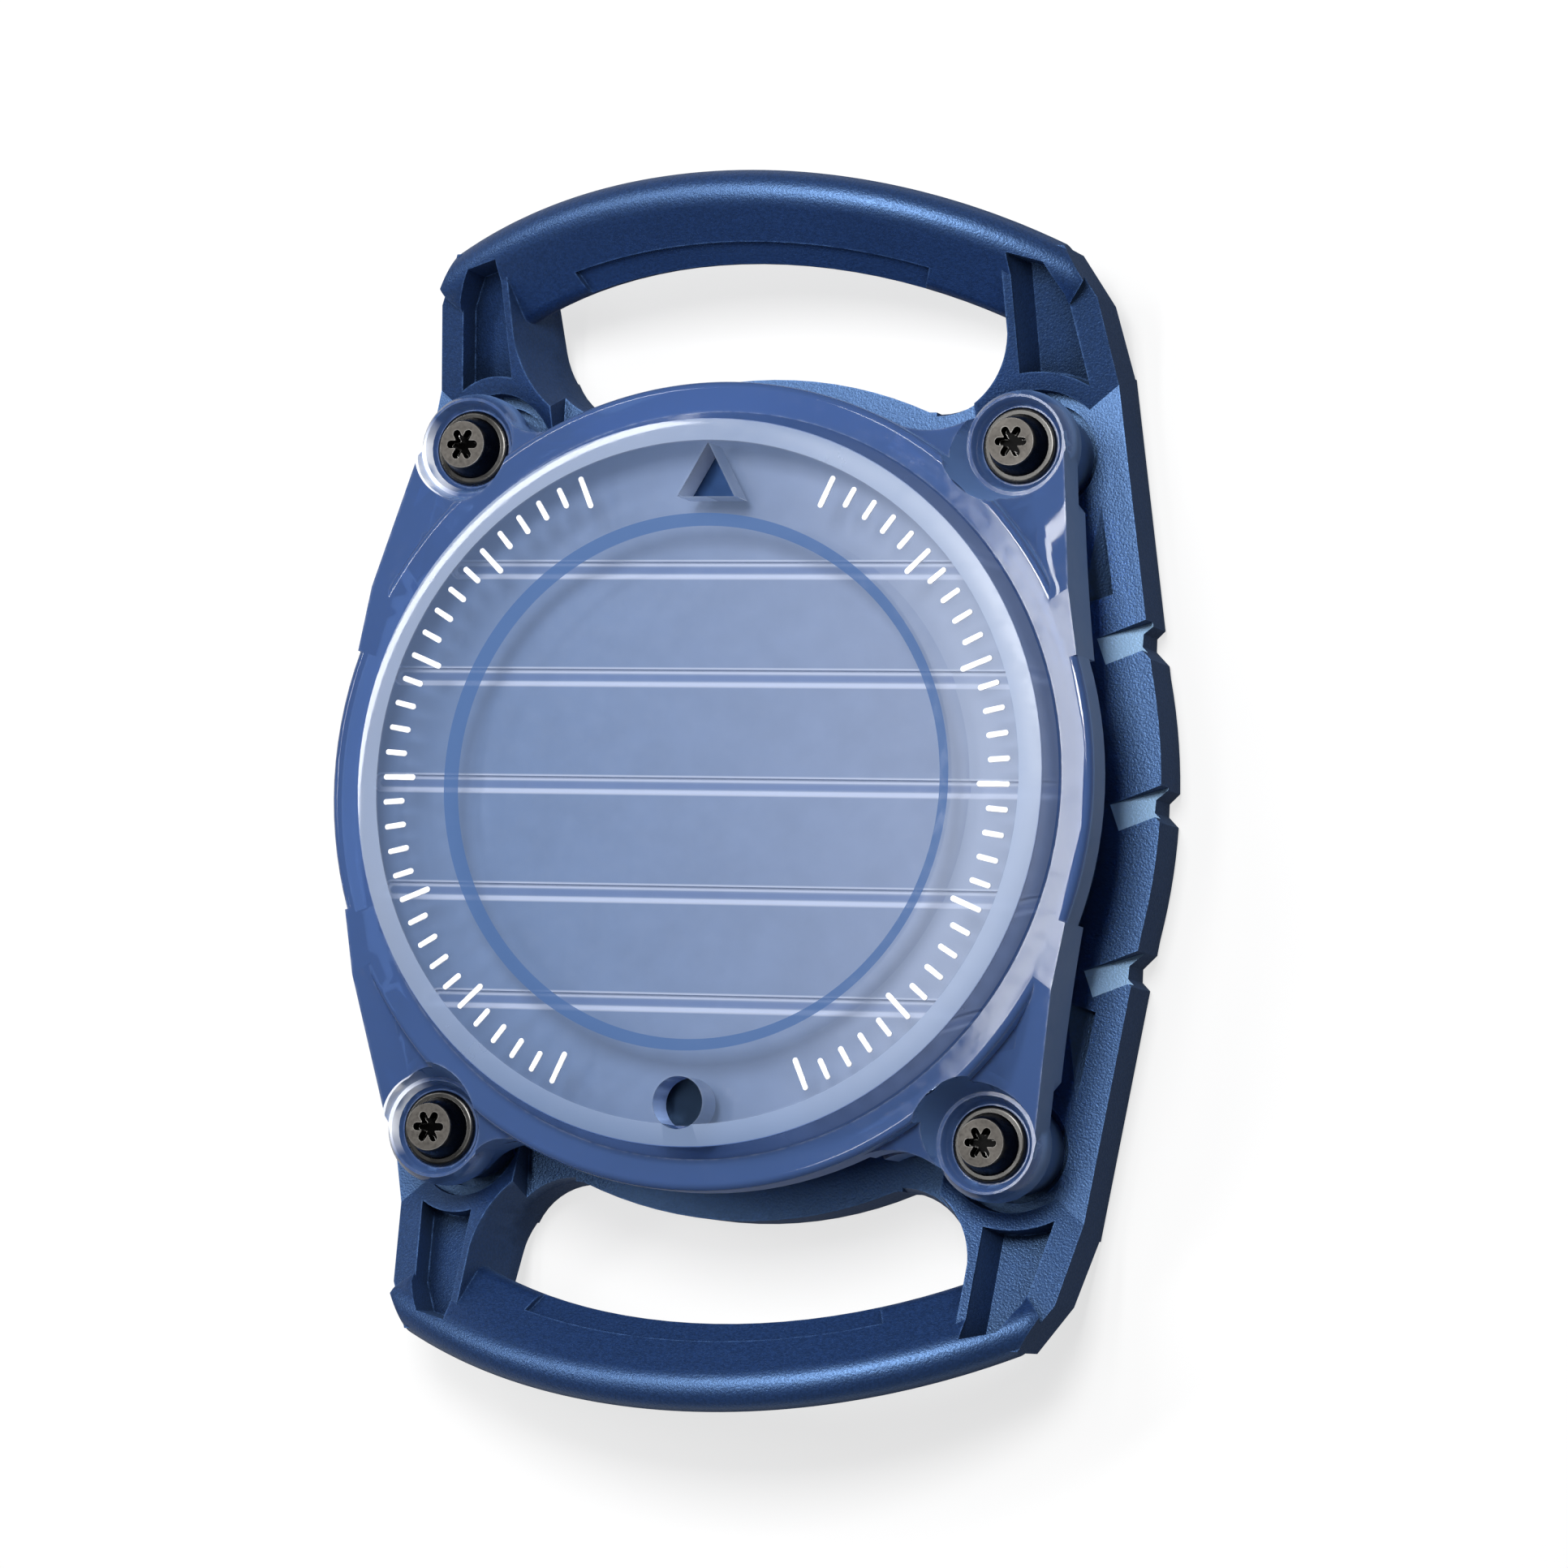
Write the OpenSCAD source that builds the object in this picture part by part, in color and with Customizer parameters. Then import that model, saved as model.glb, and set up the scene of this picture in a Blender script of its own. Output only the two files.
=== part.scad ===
// Tracker tag holder: a sealed, screwed case for a coin-shaped tracker on a strap frame.
// Origin at the middle of the flat back, Z up through the cover, Y along the strap.

/* [Tracker] */
// Diameter of the coin-shaped tracker that the pocket takes
tracker_d = 31.9; // [28:0.1:34]
// Thickness of the tracker
tracker_h = 8; // [6:0.1:10]
// Gap all round the tracker in its pocket
pocket_gap = 0.35; // [0.2:0.05:0.8]
// Play above the tracker under the cover's ribs
tracker_play = 0.05; // [0.02:0.01:0.3]

/* [Frame plate] */
// Width of the rails beyond the case body, at the middle
rail_w = 3.6; // [2.8:0.1:6]
// How much narrower the frame is where its middle bulge ends
bulge = 0.9; // [0.2:0.1:2]
// Distance from the middle to where the bulge ends
shoulder_y = 8; // [5:0.5:12]
// How much narrower the frame is where the strap loops begin
waist_in = 3.5; // [1:0.1:3.8]
// Distance from the middle to where the strap loops begin
waist_y = 24; // [23:0.1:25]
// How much narrower the frame is at the foot of the corner chamfer
corner_in = 4.55; // [3.8:0.05:5.2]
// Distance from the middle to the foot of the corner chamfer
corner_y = 30.5; // [29:0.1:31.5]
// How much narrower the frame is at the top of the corner chamfer
tip_in = 6.2; // [5.4:0.1:7]
// Distance from the middle to the top of the corner chamfer
tip_y = 33.4; // [32:0.1:34.5]
// Height of the plate's underside above the flat back
plate_lift = 0.3; // [0.1:0.1:1]
// Thickness of the frame plate
plate_t = 3.9; // [3.2:0.1:5]
// Distance from the middle to the plate's ends under the loops
plate_end_y = 26.4; // [26.2:0.1:27]

/* [Case body] */
// Radius of the round case body
body_r = 22.5; // [20.5:0.1:22.6]
// How much smaller the flat back is than the body
back_in = 3.5; // [0.5:0.1:6]
// Thickness of the floor under the tracker
floor_t = 1.6; // [1:0.1:2.5]
// Thickness of the cushion pad under the tracker
pad_t = 1.8; // [0.8:0.1:3]
// Gap between the cushion pad and the pocket wall
pad_gap = 0.5; // [0.3:0.1:1.5]
// Width of the chamfer on the body's top edge
body_chamfer = 0.25; // [0.1:0.05:0.3]
// Width of the hollows cored out of the body's wall
core_w = 3; // [1:0.1:3.4]
// Depth of those hollows
core_d = 7.5; // [2:0.5:9]
// Number of those hollows round the body
core_n = 6; // [3:1:12]
// Width of the webs between those hollows
core_web = 1.6; // [1:0.1:3]
// Wall left between those hollows and the tracker's pocket
core_wall = 1.5; // [1:0.1:2]

/* [Strap loops] */
// Half length of the holder over its strap loops
loop_reach = 37.8; // [36:0.1:42]
// Height of the middle of a loop bar
loop_z = 10.35; // [8:0.05:12]
// Upward tilt of the loops in degrees
loop_tilt = 45; // [35:1:50]
// Radius of a loop bar's outer edge, in the tilted plane
loop_r = 36.5; // [32:0.5:40]
// Half angle that a loop bar sweeps
loop_half_angle = 36; // [32:1:40]
// Width of a loop bar across its tilted face
bar_w = 6.4; // [5:0.1:7]
// Thickness of a loop bar
bar_t = 2.9; // [2.2:0.1:3.6]
// Width of the strap relief along a bar's inner edge
relief_w = 2.4; // [1:0.1:3]
// Depth of the strap relief
relief_d = 0.35; // [0.1:0.05:0.6]
// Half length of the strap relief
relief_half_l = 10.75; // [6:0.25:14]

/* [Strap slots] */
// Half width of a strap slot
slot_half_w = 15; // [13:0.1:16]
// Width of the ledge between the case body and a slot
slot_ledge = 3.5; // [2.8:0.1:4.5]
// Run of the slope between a slot's wall and a strut's lip
lip_run = 1.2; // [0.3:0.1:1.8]
// Rise of that slope for each unit outwards
lip_slope = 3.6; // [1:0.1:6]
// Radius of the slot's near corners
slot_corner_r = 4.3; // [2:0.1:5]
// Distance from a slot's near edge to the centres of its near corners
slot_corner_out = 2.2; // [1:0.1:3]
// Width of frame left round an ear's seat beside the slot
ear_wall = 2; // [1.5:0.1:2.6]

/* [Struts] */
// Height of a strut's top face at its outer edge
strut_z = 5.4; // [4.6:0.1:6.5]
// Distance from the middle at which that height is taken
strut_y = 28; // [27:0.1:29]
// Half width at which that height is taken
strut_half_w = 22; // [21.5:0.1:22.5]
// Rise of a strut's top face for each unit towards the loop
strut_pitch = 0.43; // [0.3:0.01:0.7]
// Rise of a strut's top face for each unit towards the slot
strut_roll = 0.36; // [0.1:0.01:0.5]
// Height of a strut's underside at that distance from the middle
strut_under_z = 1.5; // [1:0.1:2]
// Rise of a strut's underside for each unit towards the loop
strut_under_pitch = 0.58; // [0.3:0.01:0.8]
// Depth of the hollow in a strut's top
hollow_d = 1.7; // [0.5:0.1:2.4]
// Run of the slope on the slot side of the hollow
hollow_run = 0.6; // [0.2:0.1:1]
// Distance from the ear's axis to the hollow
hollow_ear_r = 5.6; // [5:0.1:6.5]
// Inward run of the hollow's sloped end beside the ear
hollow_ear_run = 1; // [0.5:0.1:1.4]
// Slant of the hollow's far end across its width
hollow_slant = 0.5; // [0:0.1:1]
// Width of the strut's lip beside the slot
hollow_lip = 0.5; // [0.3:0.1:2]
// Width of the strut's outer band beside the hollow
hollow_band = 1.7; // [1:0.1:2.5]
// Distance from the middle to the hollow's far end
hollow_far_y = 32.3; // [30.5:0.1:33]

/* [Rail details] */
// Distance between the channels across each rail
channel_pitch = 10.1; // [8:0.1:11]
// Offset of the middle channel along the rail
channel_shift = 0.2; // [-1:0.1:1]
// Width of a channel
channel_w = 1.7; // [1:0.1:2.5]
// Length of a channel
channel_l = 3.1; // [2:0.1:4]
// Slant of the channels in degrees
channel_slant = 21; // [0:1:30]
// Fall of a channel's floor in degrees
channel_fall = 24; // [10:1:35]
// Depth of the notches in the outer wall
notch_d = 0.65; // [0.3:0.05:1]
// Length of a notch along the wall at its mouth
notch_l = 2.1; // [1.4:0.1:3]
// Distance of a notch from its channel along the rail
notch_shift = 0.3; // [0:0.1:1]
// Depth of a triangular pocket at its deepest
wedge_d = 1; // [0.3:0.1:2]
// Width of a triangular pocket
wedge_w = 1.9; // [1:0.1:2.4]
// Length of a triangular pocket
wedge_l = 6; // [4:0.1:7]
// Distance from the middle to a triangular pocket's wide end
wedge_y = 12.1; // [11.8:0.1:12.8]
// Distance of a triangular pocket from the outer wall
wedge_band = 2; // [1.6:0.1:3]
// Slant of a triangular pocket's wide end, along the rail
wedge_slant = 0.6; // [0.2:0.1:1]

/* [Cover] */
// How much smaller the raised disc is than the case body
disc_in = 0.45; // [0.2:0.05:2]
// Thickness of the cover's disc
disc_t = 3.3; // [2.6:0.1:4]
// Width of the sloped band round the disc's edge
bevel_w = 1.4; // [0.5:0.1:2]
// Fall of that band
bevel_d = 0.3; // [0.1:0.05:0.6]
// Outward run of the disc's side wall
wall_run = 0.65; // [0.3:0.05:1]
// Drop from the disc's face to the shelf round it
shelf_drop = 2.1; // [1.2:0.1:2.6]
// Width of the cover's round rim beyond its skirt's inner face
rim_w = 1.82; // [1.4:0.02:2.2]
// Thickness of the rim and of the arms to the ears
rim_t = 2.45; // [1.8:0.05:2.8]
// Rounding of the rim's upper edge
rim_round = 0.5; // [0.2:0.05:0.8]
// Gap between the cover's skirt and the case body
skirt_gap = 0.3; // [0.2:0.05:0.5]
// Radius of the sunk centre panel at the top
panel_r = 16.45; // [12:0.05:17.5]
// Width of the step down to the panel
panel_step = 0.94; // [0.4:0.02:1.5]
// Depth of the panel
panel_d = 0.66; // [0.3:0.02:1.2]
// Height of the ribs under the disc
rib_h = 0.35; // [0.2:0.05:0.6]
// Width of a rib
rib_w = 1; // [0.5:0.1:2]
// Distance between the ribs
rib_pitch = 6.6; // [4:0.1:8]
// Depth of the triangle and round marks in the disc
mark_d = 2.3; // [0.5:0.1:2.4]
// Distance from the middle to the triangle mark
triangle_y = 18.9; // [18.6:0.1:19.2]
// Width of the triangle mark
triangle_w = 3.7; // [2:0.1:4]
// Height of the triangle mark
triangle_h = 3.3; // [2:0.1:3.6]
// Distance from the middle to the round mark
dot_y = 19.4; // [18.6:0.1:19.8]
// Radius of the round mark
dot_r = 1.6; // [0.8:0.1:1.8]

/* [Ears and screws] */
// Distance of a screw beyond the case body
ear_out = 5.15; // [4.9:0.05:5.6]
// Angle of a screw about the middle, from the short axis
ear_angle = 49.71; // [46:0.01:53]
// Outer radius of an ear at its shoulder
ear_r = 3.45; // [3.2:0.05:3.6]
// Outer radius of an ear's lip
lip_r = 3.05; // [3:0.05:3.2]
// Height of the ear's lip above the flat back
ear_top = 9.9; // [9.4:0.1:10.6]
// Height of an ear's shoulder band
shoulder_h = 1; // [0.5:0.1:1.5]
// Drop from the lip to the shoulder
shoulder_drop = 1.1; // [0.5:0.1:1.5]
// Radius of the post that carries an ear
post_r = 2.75; // [2.3:0.05:3]
// Radius of the hollow round the lip where it is sunk into the arm
sunk_r = 3.15; // [3.1:0.05:3.4]
// Outward run of that hollow's wall for each unit up
sunk_draft = 0.25; // [0:0.05:0.5]
// Radius of the screw's seat
bore_r = 2.45; // [2.4:0.05:2.6]
// Radius of the seat's flared mouth at the lip
mouth_r = 2.9; // [2.5:0.05:3]
// Depth of the seat below the lip
bore_d = 0.85; // [0.5:0.05:2]
// Height of the arm's top face at the screw
arm_z = 9.6; // [9:0.1:10.4]
// Rise of the arm's top for each unit outwards
arm_roll = 0.185; // [0:0.005:0.3]
// Rise of the arm's top for each unit towards the middle
arm_pitch = 0.278; // [0.15:0.002:0.35]
// Fall of the arm's inner face for each unit outwards
arm_fall = 0.6; // [0.4:0.02:0.7]
// Distance from the middle to where an arm leaves the rim
arm_y = 8; // [7:0.1:9]
// Radius of the hollow curve between the rim and an ear
fillet_r = 4; // [3:0.1:6]
// Depth of the seat for an ear in the frame plate
seat_d = 1; // [0.5:0.1:1.5]
// Gap round an ear in its seat
seat_gap = 0.55; // [0.3:0.05:0.7]
// Gap round an ear's shoulder beside the strut
ear_clear = 0.5; // [0.3:0.1:0.8]
// Radius of the screw's shank
screw_r = 1; // [0.9:0.05:1.2]
// Gap round the shank in the ear
screw_gap = 0.15; // [0.1:0.01:0.25]
// Radius of the screw's washer face
washer_r = 2.35; // [2:0.05:2.4]
// Thickness of the washer face
washer_t = 0.35; // [0.2:0.05:0.6]
// Radius of the screw head's flat top
head_r = 1.45; // [1.2:0.05:1.8]
// Radius of the screw head where it meets the washer face
head_foot_r = 1.9; // [1.6:0.05:2.2]
// Height of the screw head above its washer face
head_h = 1.6; // [0.8:0.05:2]
// Radius of the six-lobed driver recess over its lobes
lobe_r = 1; // [0.7:0.05:1.1]
// Radius of one lobe
lobe_end_r = 0.24; // [0.15:0.01:0.3]
// Depth of the driver recess
lobe_d = 0.9; // [0.3:0.05:1.2]
// Distance between the screw's tip and the insert's lower end
tip_gap = 0.2; // [0.1:0.05:0.5]
// Radius of a threaded insert
insert_r = 1.6; // [1.4:0.05:1.9]
// Length of a threaded insert
insert_l = 2.3; // [1.8:0.1:2.5]
// Gap between an insert and its bore
insert_gap = 0.02; // [0.01:0.01:0.05]
// Running gap between the shank and the insert
thread_gap = 0.04; // [0.02:0.01:0.08]

/* [Sealing ring] */
// Radius of the sealing ring's cord
ring_r = 0.3; // [0.25:0.01:0.32]
// Gap between the sealing ring and the walls round it
ring_gap = 0.03; // [0.01:0.01:0.05]
// Distance from the body's top edge down to the ring's middle
ring_drop = 0.6; // [0.5:0.05:0.7]

/* [Hidden] */
$fn = 96;
// How far a cut runs past the surface that it opens
over = 1;
// Share of a fine step along a drawn curve
step_share = 1 / 8;
pocket_r = tracker_d / 2 + pocket_gap;
body_top = floor_t + pad_t + tracker_h + tracker_play;
disc_under = body_top + rib_h;
disc_top = disc_under + disc_t;
shelf_z = disc_top - shelf_drop;
rim_under = shelf_z - rim_t;
skirt_r = body_r + skirt_gap;
plate_top = plate_lift + plate_t;
ring_z = body_top - ring_drop;
seat_z = plate_top - seat_d;
bore_z = ear_top - bore_d;
frame_half_w = body_r + rail_w;
waist_half_w = frame_half_w - waist_in;
corner_half_w = frame_half_w - corner_in;
tip_half_w = frame_half_w - tip_in;
shoulder_half_w = frame_half_w - bulge;
back_r = body_r - back_in;
disc_r = body_r - disc_in;
rim_r = skirt_r + rim_w;
slot_near_r = body_r + slot_ledge;
slot_corner_y = slot_near_r + slot_corner_out;
reach = 2 * loop_reach;
ear_dist = body_r + ear_out;
ear_x = ear_dist * cos(ear_angle);
ear_y = ear_dist * sin(ear_angle);
// Centre of the hollow curve between the rim and an ear
fillet_dist = rim_r + fillet_r;
fillet_turn = acos((fillet_dist ^ 2 + ear_dist ^ 2 - (lip_r + fillet_r) ^ 2) / (2 * fillet_dist * ear_dist));
fillet_c = fillet_dist * [cos(ear_angle + fillet_turn), sin(ear_angle + fillet_turn)];
// Start of an arm's straight edge on the rim
arm_start = [sqrt(rim_r ^ 2 - arm_y ^ 2), arm_y];

// Half width of the frame at a distance along it.
function half_w(y) =
    abs(y) < shoulder_y ? frame_half_w - bulge * (y / shoulder_y) ^ 2 :
    abs(y) < waist_y ? shoulder_half_w
        - (shoulder_half_w - waist_half_w) * (abs(y) - shoulder_y) / (waist_y - shoulder_y) :
    abs(y) < corner_y ? waist_half_w
        - (waist_half_w - corner_half_w) * (abs(y) - waist_y) / (corner_y - waist_y) :
    corner_half_w - (corner_half_w - tip_half_w) * (abs(y) - corner_y) / (tip_y - corner_y);

// Points of one long edge, from one corner to the other.
function edge_stations() = concat(
    [-tip_y, -corner_y, -waist_y],
    [for (s = [-1 : step_share : 1]) s * shoulder_y],
    [waist_y, corner_y, tip_y]
);

// The four corners of the holder.
module corners() {
    for (mx = [0, 1]) {
        for (my = [0, 1]) {
            mirror([mx, 0, 0]) mirror([0, my, 0]) children();
        }
    }
}

module sides() {
    for (mx = [0, 1]) {
        mirror([mx, 0, 0]) children();
    }
}

module ends() {
    for (my = [0, 1]) {
        mirror([0, my, 0]) children();
    }
}

// A layer about a sloped plane through a point, from one distance off the plane to another.
module sloped_sheet(at, rise_x, rise_y, low, high) {
    size = norm([rise_x, rise_y, 1]);
    translate(at) rotate([asin(rise_y / size), atan(-rise_x), 0])
        translate([0, 0, (low + high) / 2]) cube([reach, reach, high - low], center = true);
}

// Outline of the whole frame but for the loop bars.
module frame_outline() {
    ys = edge_stations();
    polygon(concat(
        [for (y = ys) [half_w(y), y]],
        [for (i = [len(ys) - 1 : -1 : 0]) [-half_w(ys[i]), ys[i]]]
    ));
}

// Strap slot at the upper end, open towards the loop.
module slot_outline() {
    difference() {
        union() {
            translate([-slot_half_w, slot_corner_y]) square([2 * slot_half_w, reach]);
            translate([-slot_half_w + slot_corner_r, slot_corner_y - slot_corner_r])
                square([2 * (slot_half_w - slot_corner_r), slot_corner_r + over]);
            for (side = [-1, 1]) {
                translate([side * (slot_half_w - slot_corner_r), slot_corner_y]) circle(slot_corner_r);
            }
        }
        circle(slot_near_r);
        sides() translate([ear_x, ear_y]) circle(ear_r + ear_wall);
    }
}

// Cross-section of a loop bar with rounded edges.
module bar_section() {
    square([bar_w - bar_t, bar_t], center = true);
    for (side = [-1, 1]) {
        translate([side * (bar_w - bar_t) / 2, 0]) circle(bar_t / 2);
    }
}

// A solid swept along the upper loop bar's curve in its tilted plane.
module along_bar(half_angle) {
    mid_r = loop_r - bar_w / 2;
    mid_y = loop_reach - (bar_w - bar_t) / 2 * cos(loop_tilt) - bar_t / 2;
    translate([0, mid_y, loop_z]) rotate([loop_tilt, 0, 0]) translate([0, -mid_r, 0])
        rotate([0, 0, 90 - half_angle]) rotate_extrude(angle = 2 * half_angle)
            translate([mid_r, 0]) children();
}

module loop_bar() {
    difference() {
        intersection() {
            along_bar(loop_half_angle) bar_section();
            linear_extrude(reach) polygon([
                [-waist_half_w, waist_y], [waist_half_w, waist_y],
                [corner_half_w, corner_y], [tip_half_w, tip_y],
                [2 * tip_half_w - corner_half_w, 2 * tip_y - corner_y], [0, reach],
                [corner_half_w - 2 * tip_half_w, 2 * tip_y - corner_y],
                [-tip_half_w, tip_y], [-corner_half_w, corner_y]
            ]);
        }
        along_bar(asin(relief_half_l / (loop_r - bar_w)))
            translate([-bar_w / 2 - over, bar_t / 2 - relief_d]) square([relief_w + over, over]);
    }
}

// A layer about the plane of a strut's top face.
module strut_sheet(low, high) {
    sloped_sheet([strut_half_w, strut_y, strut_z], -strut_roll, strut_pitch, low, high);
}

// One strut from the frame plate to the loop bar, at the upper right.
module strut() {
    intersection() {
        translate([0, 0, plate_lift]) linear_extrude(reach) intersection() {
            frame_outline();
            translate([ear_x - ear_r - ear_clear, ear_y]) square([loop_reach, loop_reach]);
        }
        strut_sheet(-reach / 2, 0);
        sloped_sheet([strut_half_w, strut_y, strut_under_z], 0, strut_under_pitch, 0, reach / 2);
    }
}

// What is cut from a strut to slope its wall beside the slot and round the slot's near corner.
module lip_slope_cut() {
    lip_z = strut_z + strut_roll * (strut_half_w - slot_half_w - lip_run);
    foot_z = lip_z + strut_pitch * (slot_corner_y - strut_y) - lip_slope * lip_run;
    rise = lip_slope * (lip_run + over);
    intersection() {
        translate([slot_half_w - over, slot_corner_y, 0]) cube([lip_run + 3 * over, reach, reach]);
        sloped_sheet([slot_half_w + lip_run, strut_y, lip_z], lip_slope, strut_pitch, 0, reach / 2);
    }
    intersection() {
        translate([slot_half_w - slot_corner_r, slot_corner_y - reach, 0]) cube([reach, reach, reach]);
        translate([slot_half_w - slot_corner_r, slot_corner_y, foot_z - over])
            cylinder(r1 = slot_corner_r - over / lip_slope, r2 = slot_corner_r + rise / lip_slope, h = rise + over);
    }
}

module strut_hollow() {
    lip_x = slot_half_w + lip_run + hollow_lip;
    floor_z = strut_z - hollow_d + strut_roll * (strut_half_w - lip_x - hollow_run);
    difference() {
        intersection() {
            linear_extrude(reach) polygon([
                [lip_x, ear_y],
                [half_w(ear_y) - hollow_band, ear_y],
                [half_w(waist_y) - hollow_band, waist_y],
                [half_w(corner_y) - hollow_band, corner_y],
                [half_w(hollow_far_y) - hollow_band, hollow_far_y],
                [lip_x, hollow_far_y + hollow_slant]
            ]);
            strut_sheet(-hollow_d, reach / 2);
            sloped_sheet(
                [lip_x + hollow_run, strut_y, floor_z],
                -hollow_d / hollow_run, strut_pitch, 0, reach / 2
            );
        }
        translate([ear_x, ear_y, 0]) cylinder(r1 = hollow_ear_r, r2 = hollow_ear_r - hollow_ear_run, h = ear_top);
        translate([ear_x, ear_y, ear_top]) cylinder(r = hollow_ear_r - hollow_ear_run, h = reach);
    }
}

// Channels and notches in the right rail.
module rail_channels() {
    for (k = [-1, 0, 1]) {
        y = channel_shift + k * channel_pitch;
        translate([half_w(y), y, plate_top]) rotate([0, 0, channel_slant]) translate([-channel_l, 0, 0])
            rotate([0, channel_fall, 0]) translate([0, -channel_w / 2, 0])
                cube([channel_l + 2 * over, channel_w, plate_t]);
        translate([half_w(y - notch_shift), y - notch_shift, plate_lift - over])
            linear_extrude(plate_t + 2 * over) polygon([
                [-notch_d, -notch_l / 2 + notch_d], [over, -notch_l / 2 - over],
                [over, notch_l / 2 + over], [-notch_d, notch_l / 2 - notch_d]
            ]);
    }
}

// Triangular pocket in a rail, at the upper right, with a floor that falls outwards.
module rail_wedge() {
    inner = half_w(wedge_y) - wedge_band - wedge_w;
    far_y = wedge_y + wedge_l;
    lean = (half_w(far_y) - wedge_band - inner) / wedge_l;
    side_step = half_w(far_y) - half_w(far_y + over);
    intersection() {
        linear_extrude(plate_top + over) polygon([
            [inner - over, wedge_y - wedge_slant * over / wedge_w],
            [half_w(wedge_y) - wedge_band, wedge_y + wedge_slant],
            [half_w(far_y) - wedge_band - side_step, far_y + over],
            [inner - over, far_y + over]
        ]);
        sloped_sheet([inner, wedge_y, plate_top], -wedge_d / wedge_w, lean * wedge_d / wedge_w, 0, reach / 2);
    }
}

// Round case body with its flat back.
module case_body() {
    rotate_extrude() polygon([
        [0, 0], [back_r, 0], [back_r + plate_lift, plate_lift], [body_r, plate_lift],
        [body_r, body_top - body_chamfer], [body_r - body_chamfer, body_top], [0, body_top]
    ]);
}

// Hollows in the body's wall, open at the top.
module body_cores() {
    core_r = pocket_r + core_wall;
    web_angle = 2 * asin(core_web / 2 / core_r);
    for (k = [0 : core_n - 1]) {
        rotate([0, 0, k * 360 / core_n + web_angle / 2]) rotate_extrude(angle = 360 / core_n - web_angle)
            translate([core_r, body_top - core_d]) square([core_w, core_d + over]);
    }
}

module ring_groove() {
    rotate_extrude() translate([skirt_r - 2 * ring_r - 2 * ring_gap, ring_z - ring_r - ring_gap])
        square([2 * ring_r + over, 2 * (ring_r + ring_gap)]);
}

module frame() {
    color([0.05, 0.13, 0.3]) {
        difference() {
            union() {
                difference() {
                    union() {
                        translate([0, 0, plate_lift]) linear_extrude(plate_t) intersection() {
                            frame_outline();
                            square([reach, 2 * plate_end_y], center = true);
                        }
                        corners() strut();
                    }
                    ends() translate([0, 0, -over]) linear_extrude(reach) slot_outline();
                    corners() lip_slope_cut();
                }
                case_body();
                ends() loop_bar();
            }
            translate([0, 0, floor_t]) cylinder(r = pocket_r, h = reach);
            body_cores();
            ring_groove();
            corners() {
                strut_hollow();
                rail_wedge();
                translate([ear_x, ear_y, seat_z]) cylinder(r = post_r + seat_gap, h = reach);
                translate([ear_x, ear_y, plate_top]) cylinder(r = ear_r + ear_clear, h = reach);
                translate([ear_x, ear_y, seat_z - insert_l]) cylinder(r = insert_r + insert_gap, h = reach);
            }
            sides() rail_channels();
        }
    }
}

// Plan of the cover's arm to the ear at the upper right.
module arm_outline() {
    span = [ear_x, ear_y] - arm_start;
    turn = atan2(span[1], span[0]) - asin(lip_r / norm(span));
    touch = sqrt(norm(span) ^ 2 - lip_r ^ 2);
    difference() {
        union() {
            polygon([
                [0, 0], arm_start, arm_start + touch * [cos(turn), sin(turn)],
                [ear_x, ear_y], fillet_c, fillet_c * rim_r / fillet_dist
            ]);
            translate([ear_x, ear_y]) circle(lip_r);
        }
        translate(fillet_c) circle(fillet_r);
    }
}

// Round body of the cover: disc, side wall, shelf and rim.
module cover_round() {
    shelf_r = disc_r + wall_run;
    rotate_extrude() {
        polygon([
            [0, disc_under], [skirt_r, disc_under], [skirt_r, rim_under], [rim_r, rim_under],
            [rim_r, shelf_z - rim_round], [rim_r - rim_round, shelf_z - rim_round],
            [rim_r - rim_round, shelf_z], [shelf_r, shelf_z], [disc_r, disc_top - bevel_d],
            [disc_r - bevel_w, disc_top], [panel_r, disc_top],
            [panel_r - panel_step, disc_top - panel_d], [0, disc_top - panel_d]
        ]);
        translate([rim_r - rim_round, shelf_z - rim_round]) circle(rim_round);
    }
}

// One arm of the cover with its ear, at the upper right.
module cover_arm() {
    shelf_r = disc_r + wall_run;
    fall_run = ear_dist - shelf_r;
    intersection() {
        linear_extrude(shelf_z) arm_outline();
        union() {
            rotate_extrude() polygon([
                [skirt_r, shelf_z], [shelf_r + skirt_gap, shelf_z],
                [shelf_r + fall_run, shelf_z - arm_fall * fall_run],
                [shelf_r + fall_run, shelf_z - arm_fall * fall_run - rim_t],
                [shelf_r + skirt_gap, rim_under], [skirt_r, rim_under]
            ]);
            difference() {
                sloped_sheet([ear_x, ear_y, arm_z], arm_roll, -arm_pitch, -rim_t, 0);
                translate([0, 0, -over]) cylinder(r = rim_r - rim_round, h = reach);
            }
        }
    }
}

module ear() {
    shoulder_z = ear_top - shoulder_drop;
    translate([ear_x, ear_y]) rotate_extrude() polygon([
        [0, seat_z], [post_r, seat_z], [post_r, shoulder_z - shoulder_h - (ear_r - post_r)],
        [ear_r, shoulder_z - shoulder_h], [ear_r, shoulder_z],
        [(ear_r + lip_r) / 2 + (ear_r - lip_r) / 4, (shoulder_z + ear_top) / 2],
        [lip_r, ear_top], [0, ear_top]
    ]);
}

module ribs() {
    end_r = body_r - body_chamfer - rib_w / 2;
    translate([0, 0, body_top]) linear_extrude(disc_under - body_top + over / 2) {
        for (k = [-2 : 2]) {
            half_l = sqrt(end_r ^ 2 - (k * rib_pitch) ^ 2);
            translate([-half_l, k * rib_pitch - rib_w / 2]) square([2 * half_l, rib_w]);
            for (side = [-1, 1]) {
                translate([side * half_l, k * rib_pitch]) circle(rib_w / 2);
            }
        }
    }
}

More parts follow.
